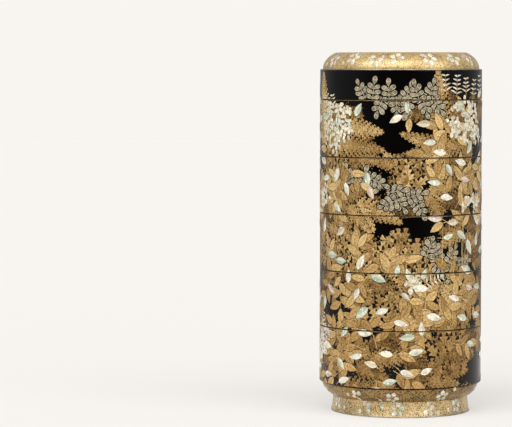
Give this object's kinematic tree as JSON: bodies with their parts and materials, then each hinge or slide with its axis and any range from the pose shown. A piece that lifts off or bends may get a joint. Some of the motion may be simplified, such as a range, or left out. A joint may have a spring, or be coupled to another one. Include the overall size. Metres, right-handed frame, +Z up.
{
  "type": "tiered lacquer box",
  "caption": "Round stacked food box of black lacquered wood with gold and shell foliage, a lift-off lid with a rounded shoulder, hollow tiers with standing lips, and a flared foot on a metal rim",
  "frame": {"origin": "on the turning axis, at the level of the surface that the foot stands on", "axes": "+Z up along the turning axis; -Y towards the side that the picture shows; +X to the right of that side"},
  "size_m": [0.18, 0.18, 0.3974],
  "materials": {
    "black_lacquer": "polished black lacquer over turned wood",
    "pewter": "dull grey pewter",
    "gold_lacquer": "satin lacquer with sprinkled gold powder",
    "silver_lacquer": "satin lacquer with sprinkled silver powder",
    "shell_inlay": "polished mother-of-pearl"
  },
  "bodies": {
    "root": {"lid": "black_lacquer", "tier_1": "black_lacquer", "tier_2": "black_lacquer", "tier_3": "black_lacquer", "tier_4": "black_lacquer", "tier_5": "black_lacquer", "foot_rim": "pewter"}
  },
  "joints": []
}
